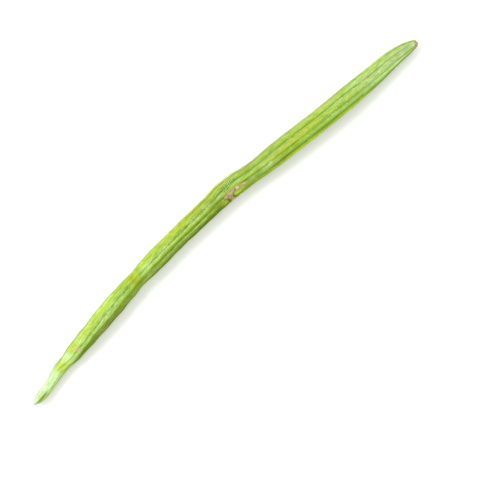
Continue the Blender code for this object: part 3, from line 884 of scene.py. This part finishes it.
FINISH = (
    ("brightness", "FADE", "fibres", 0.3, 0.7, 0.50, 0.71),
    ("dapple", "FADE", "mottle", 0.35, 0.65, -0.07, 0.07),
    ("lively", "FADE", "along", 240.0, 290.0, 1.15, 0.55),
    ("brightness", "MULTIPLY_ADD", "dapple", "lively", "brightness"),
    ("brightness", "MULTIPLY_ADD", "pale", 0.20, "brightness"),
    ("brightness", "MULTIPLY_ADD", "bright", 0.16, "brightness"),
    # the lighter and darker patches, painted light and shade among them, lift or lower the brightness
    ("brightness", "MULTIPLY_ADD", "light", 0.13, "brightness"),
    ("blue", "FADE", "thin_wax", 0.0, 1.0, 1.0, THIN_WAX_BLUE),
    ("blue", "MULTIPLY", "brightness", "blue"),
    ("dullness", "FADE", "cork", 0.0, 1.0, 0.44, 0.88),
    ("dullness", "MULTIPLY_ADD", "grain", 0.12, "dullness"),
    ("relief", "MULTIPLY", "cork", "grain"),
    ("relief", "MULTIPLY_ADD", "fibres", 0.60, "relief"),
    ("relief", "MULTIPLY_ADD", "mottle", 0.30, "relief"),
    ("relief", "MULTIPLY_ADD", "cracks", -0.8, "relief"),
    ("relief", "MULTIPLY_ADD", "grain", 0.10, "relief"),
)
FADE_INPUTS = ("Value", "From Min", "From Max", "To Min", "To Max")

for name, how, *terms in MARKS + FINISH:
    terms = [on_skin.get(term, term) for term in terms]
    if how == "FADE":
        made = add_node(skin_tree, "ShaderNodeMapRange", dict(zip(FADE_INPUTS, terms)))
    else:
        made = add_node(skin_tree, "ShaderNodeMath", dict(enumerate(terms)), operation=how)
    on_skin[name] = made.outputs[0]
print("sheen and relief take", len(FINISH), "steps")

# %% The layers of colour, from the first coat to the last
# Each layer: its mask, its colour, its strength, and the pattern that breaks it up.
LAYERS = (
    ("banded", "#BAD433", 0.55, "by_fibres"),
    ("mottled", "#B4DE6C", 0.40, "by_fibres"),
    ("blush", "#C9AE62", 0.72, "by_mottle"),
    ("pale", "#D4F4BA", 0.95, "by_mottle"),
    ("mint", "#D8F8DE", 0.90, "by_mottle"),
    ("yellow", "#CEDF1A", 0.95, "by_fibres"),
    # olive blotches and olive painted shade
    ("olive_and_painted_shade", "#74880C", 0.90, "by_mottle"),
    ("shade", "#485408", 0.85, "by_fibres"),
    ("bright", "#BEE80A", 1.00, "even"),
    # painted highlight along the rib crests
    ("crest", "#DCD27E", 0.45, "by_fibres"),
    # deeper green and painted shade in the grooves
    ("groove", "#5C9216", 0.72, "by_fibres"),
    ("dashed", "#44700C", 0.60, "even"),
    ("pore", "#E8F4BC", 0.40, "by_mottle"),
    ("flecks", "#DDF5AE", 0.55, "even"),
    # painted shade between the fine folds
    ("between", "#356A10", 0.85, "even"),
    # painted highlight on the fold crests
    ("fold", "#D6F5B4", 0.85, "even"),
    ("cork", "#E0CF94", 1.00, "even"),
    ("grey_cork", "#948450", 0.60, "even"),
    ("pale_cork", "#F2E8C0", 0.55, "even"),
    ("crumbs", "#7E6224", 0.60, "even"),
    ("cracks", "#6A5420", 0.60, "by_mottle"),
    # dark marks and painted shade in the creases
    ("marks_and_crease_shade", "#4A4410", 0.85, "by_fibres"),
    ("spot", "#85502C", 0.85, "even"),
    ("torn", "#E4D5A0", 1.00, "even"),
    ("dry_brown", "#A97E48", 0.70, "even"),
    ("dark_brown", "#6E4A24", 0.60, "by_mottle"),
)
colour = linear(POD_GREEN)
for name, tint, strength, broken_by in LAYERS:
    amount = on_skin[name]
    for factor in (strength, on_skin[broken_by]):
        amount = add_node(skin_tree, "ShaderNodeMath", {0: amount, 1: factor},
                          operation="MULTIPLY").outputs[0]
    colour = add_node(skin_tree, "ShaderNodeMix", {0: amount, 6: colour, 7: linear(tint)},
                      data_type="RGBA").outputs[2]
print(len(LAYERS), "layers of colour")

# %% The skin's shader
RELIEF_HEIGHT = 0.14 * MM
GLOW_DEPTH = 1.0 * MM  # how deep light goes into the flesh

light_and_dark = add_node(skin_tree, "ShaderNodeCombineXYZ", {
    "X": on_skin["brightness"], "Y": on_skin["brightness"], "Z": on_skin["blue"],
}).outputs[0]
colour = add_node(skin_tree, "ShaderNodeVectorMath", {0: colour, 1: light_and_dark},
                  operation="MULTIPLY").outputs[0]
relief = add_node(skin_tree, "ShaderNodeBump", {
    "Height": on_skin["relief"], "Distance": RELIEF_HEIGHT,
}).outputs["Normal"]
skin_shader = add_node(skin_tree, "ShaderNodeBsdfPrincipled", {
    "Base Color": colour, "Roughness": on_skin["dullness"], "Normal": relief, "IOR": 1.45,
    "Specular IOR Level": 0.08, "Subsurface Weight": 0.08, "Subsurface Scale": GLOW_DEPTH,
    "Subsurface Radius": (0.6, 1.0, 0.3),
})
add_node(skin_tree, "ShaderNodeOutputMaterial", {"Surface": skin_shader.outputs[0]})
print("skin material:", len(skin_tree.nodes), "nodes")

# %% The skin takes the solid's place
def put_in_scene(name, data):
    """An object that holds a mesh, a lamp or a lens, linked to the scene."""
    made = bpy.data.objects.new(name, data)
    bpy.context.scene.collection.objects.link(made)
    return made


skin_mesh.materials.append(pod_skin)
pod = put_in_scene("pod_skin", skin_mesh)
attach(pod, "root")
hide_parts("moringa_pod")
print("pod_skin rides on root")

# %% [markdown]
# ## Torn fibres at the stalk end
#
# Where the stalk was pulled off, a few short cream fibres stand out of the dish. They are dry plant
# fibre, torn and not cut, so they are dull and pale and each leans its own way. They could be hair
# curves, but a mesh can be exported. Each is a thin tube that tapers and bends, made as one array
# of strands by rings by points round a ring.

# %% The fibres' shape
STRANDS, STRAND_RINGS, STRAND_ROUND = 26, 14, 8
ROOT_DEPTH = 0.9  # how deep a fibre is rooted
STRAND_LENGTH, STRAND_RADIUS = (0.9, 3.2), (0.09, 0.18)  # shortest and longest, thinnest and thickest
LEAN, BEND = 0.25, 0.30  # most that a fibre leans and bends, as a share of its length


def strand_points(rng):
    """Root plus direction times distance plus a bend that grows with its square, and a tapered ring."""
    ahead, aside, above = (v[0] for v in directions(np.array([LENGTH])))
    root = rng.uniform(-1.0, 1.0, (STRANDS, 1, 1, 2)) * [1.1, 0.9]
    length = rng.uniform(*STRAND_LENGTH, (STRANDS, 1, 1, 1))
    lean = rng.uniform(-LEAN, LEAN, (STRANDS, 1, 1, 2)) + root * 0.12
    bend = rng.uniform(-BEND, BEND, (STRANDS, 1, 1, 2)) + [0.12, 0.0]
    thick = rng.uniform(*STRAND_RADIUS, (STRANDS, 1, 1, 1))
    t = np.linspace(0, 1, STRAND_RINGS)[None, :, None, None]
    round_ = np.linspace(0, 2 * np.pi, STRAND_ROUND, endpoint=False)[None, None, :, None]
    radius = thick * np.clip(1.0 - 0.85 * t ** 1.5, 0, 1)
    side = root + length * (lean * t + bend * t * t) + radius * np.concatenate(
        [np.sin(round_) + 0 * t, np.cos(round_) + 0 * t], axis=-1)
    along = -ROOT_DEPTH + (length + ROOT_DEPTH) * t + 0 * side[..., :1]
    centre = middle_line(np.array([LENGTH]))[0] - CENTRE - 0.35 * aside
    grid = centre + along * ahead + side[..., :1] * aside + side[..., 1:] * above
    ends = centre + np.stack([along[:, 0, 0] * ahead, along[:, -1, 0] * ahead], axis=1)
    spread = side.mean(axis=2)[:, [0, -1]]
    ends = ends + spread[..., :1] * aside + spread[..., 1:] * above
    return grid, ends


strand_grid, strand_ends = strand_points(np.random.default_rng(7))
strand_xyz = np.concatenate([strand_grid.reshape(STRANDS, -1, 3), strand_ends], axis=1)
one_strand = tube_faces(STRAND_RINGS, STRAND_ROUND)
next_strand = strand_xyz.shape[1] * np.arange(STRANDS)[:, None, None]
fibre_faces = [(f[None] + next_strand).reshape(-1, f.shape[1]) for f in one_strand]
fibre_mesh = mesh_from_arrays("stalk_fibres", strand_xyz.reshape(-1, 3) * MM, fibre_faces)
print("stalk_fibres:", len(fibre_mesh.polygons), "faces")

# %% The fibres' dry, dull finish
FIBRE_MOTTLE = 3000.0  # patches of a third of a millimetre

dry_fibre, fibre_tree = new_material("dry_plant_fibre")
place_on_fibre = add_node(fibre_tree, "ShaderNodeTexCoord").outputs["Object"]
fibre_mottle = add_node(fibre_tree, "ShaderNodeTexNoise", {
    "Vector": place_on_fibre, "Scale": FIBRE_MOTTLE, "Detail": 2.0,
}).outputs["Fac"]
fibre_colour = add_node(fibre_tree, "ShaderNodeMix", {
    0: fibre_mottle, 6: linear("#E2CF9E"), 7: linear("#FBF3D2"),
}, data_type="RGBA").outputs[2]
fibre_shader = add_node(fibre_tree, "ShaderNodeBsdfPrincipled", {
    "Base Color": fibre_colour, "Roughness": 0.75, "IOR": 1.45,
})
add_node(fibre_tree, "ShaderNodeOutputMaterial", {"Surface": fibre_shader.outputs[0]})
fibre_mesh.materials.append(dry_fibre)
fibres_object = put_in_scene("stalk_fibres", fibre_mesh)
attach(fibres_object, "root")
print("fibre material:", len(fibre_tree.nodes), "nodes")

# %% [markdown]
# ## The table, the light and the camera
#
# The pod lies on a plain board with matt white paint, which gives no glare, under a large soft
# light. The light comes from the side that the kink bulges to, which is the upper left of the
# picture, so that the near edge of each rib is lighter than its far edge. A small lamp would do
# this too, but with hard shadows. White surroundings fill what shadow is left.

# %% A plain pale table
TABLE_HALF = 6.0
TABLE_DROP = 0.1 * MM  # so that the flats of the underside don't flicker against it

square = np.array([[-1, -1, 0], [1, -1, 0], [1, 1, 0], [-1, 1, 0]])
table_corners = square * TABLE_HALF + [0, 0, -TABLE_DROP]
table_mesh = mesh_from_arrays("table", table_corners, [np.array([[0, 1, 2, 3]])])
white_board, board_tree = new_material("matt_white_board")
board = add_node(board_tree, "ShaderNodeBsdfPrincipled", {
    "Base Color": linear("#F7F7F5"), "Roughness": 0.9, "Specular IOR Level": 0.2,
})
add_node(board_tree, "ShaderNodeOutputMaterial", {"Surface": board.outputs[0]})
table_mesh.materials.append(white_board)
table = put_in_scene("table", table_mesh)
print("table is", 2 * TABLE_HALF, "m wide")

# %% Soft studio light
KEY_PLACE, KEY_SIZE, KEY_POWER = Vector((-0.9, 2.9, 3.3)), 2.4, 140.0
ROOM_STRENGTH = 1.1

scene = bpy.context.scene
scene.view_settings.view_transform = "Standard"
world = bpy.data.worlds.new("white_room")
world.use_nodes = True
surround = world.node_tree.nodes["Background"].inputs
surround["Color"].default_value = (1.0, 1.0, 1.0, 1.0)
surround["Strength"].default_value = ROOM_STRENGTH
scene.world = world

lamp = bpy.data.lights.new("key", "AREA")
lamp.size = KEY_SIZE
lamp.energy = KEY_POWER
key = put_in_scene("key", lamp)
facing_pod = KEY_PLACE.to_track_quat("Z", "Y").to_matrix().to_4x4()
key.matrix_world = Matrix.Translation(KEY_PLACE) @ facing_pod
key.visible_camera = False
print("the light is", round(KEY_PLACE.length, 2), "m away and", KEY_SIZE, "m wide")

# %% The camera looks straight down
CHORD_ANGLE = np.radians(43.35)  # from the picture's right to +X, the tip to the stalk end
FRAME_WIDTH = 423.9 * MM  # what the picture spans at the height of the pod's widest outline
OUTLINE_HEIGHT = 9.5 * MM
SHIFT_RIGHT, SHIFT_DOWN = 21.14 * MM, 22.43 * MM  # from the middle between the ends
DISTANCE = 1.1
SENSOR = 36.0

right = Vector((np.cos(CHORD_ANGLE), -np.sin(CHORD_ANGLE), 0.0))
up = Vector((np.sin(CHORD_ANGLE), np.cos(CHORD_ANGLE), 0.0))
between_ends = Vector((0.5 * (middle_line(0.0) + middle_line(LENGTH)) - CENTRE) * MM)
aim = between_ends + SHIFT_RIGHT * right - SHIFT_DOWN * up
aim.z = OUTLINE_HEIGHT
eye = aim + Vector((0, 0, DISTANCE))
camera = put_in_scene("camera", bpy.data.cameras.new("camera"))
camera.data.sensor_width = SENSOR
camera.data.lens = SENSOR * DISTANCE / FRAME_WIDTH
camera.matrix_world = Matrix((
    (right.x, up.x, 0, eye.x), (right.y, up.y, 0, eye.y), (right.z, up.z, 1, eye.z), (0, 0, 0, 1),
))
scene.camera = camera
print("lens:", round(camera.data.lens, 1), "mm")
